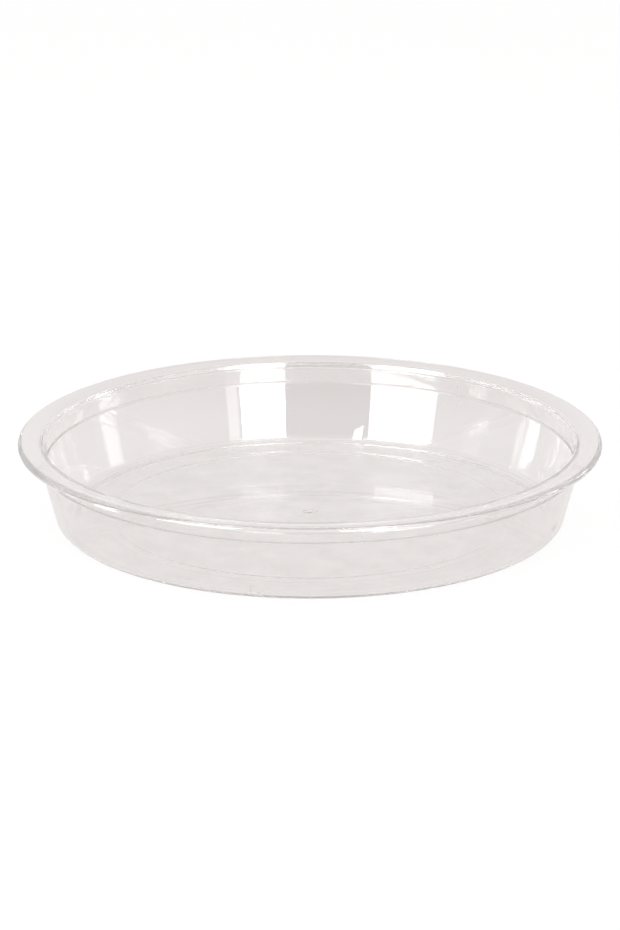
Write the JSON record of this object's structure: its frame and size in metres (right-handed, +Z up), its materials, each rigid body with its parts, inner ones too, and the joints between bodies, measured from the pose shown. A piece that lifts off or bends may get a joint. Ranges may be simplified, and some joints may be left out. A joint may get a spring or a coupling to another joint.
{
  "type": "plant saucer",
  "caption": "Round clear plastic plant saucer with a leaning wall, an upright inner collar and a flat rounded rim, to catch water under a pot.",
  "frame": {"origin": "centre of the saucer, on the plane of its standing foot", "axes": "+Z up along the saucer's axis; +X and +Y across it"},
  "size_m": [0.21, 0.21, 0.0305],
  "materials": {
    "clear_plastic": "clear, glossy injection-moulded plastic"
  },
  "bodies": {
    "root": {"saucer": "clear_plastic"}
  },
  "joints": []
}
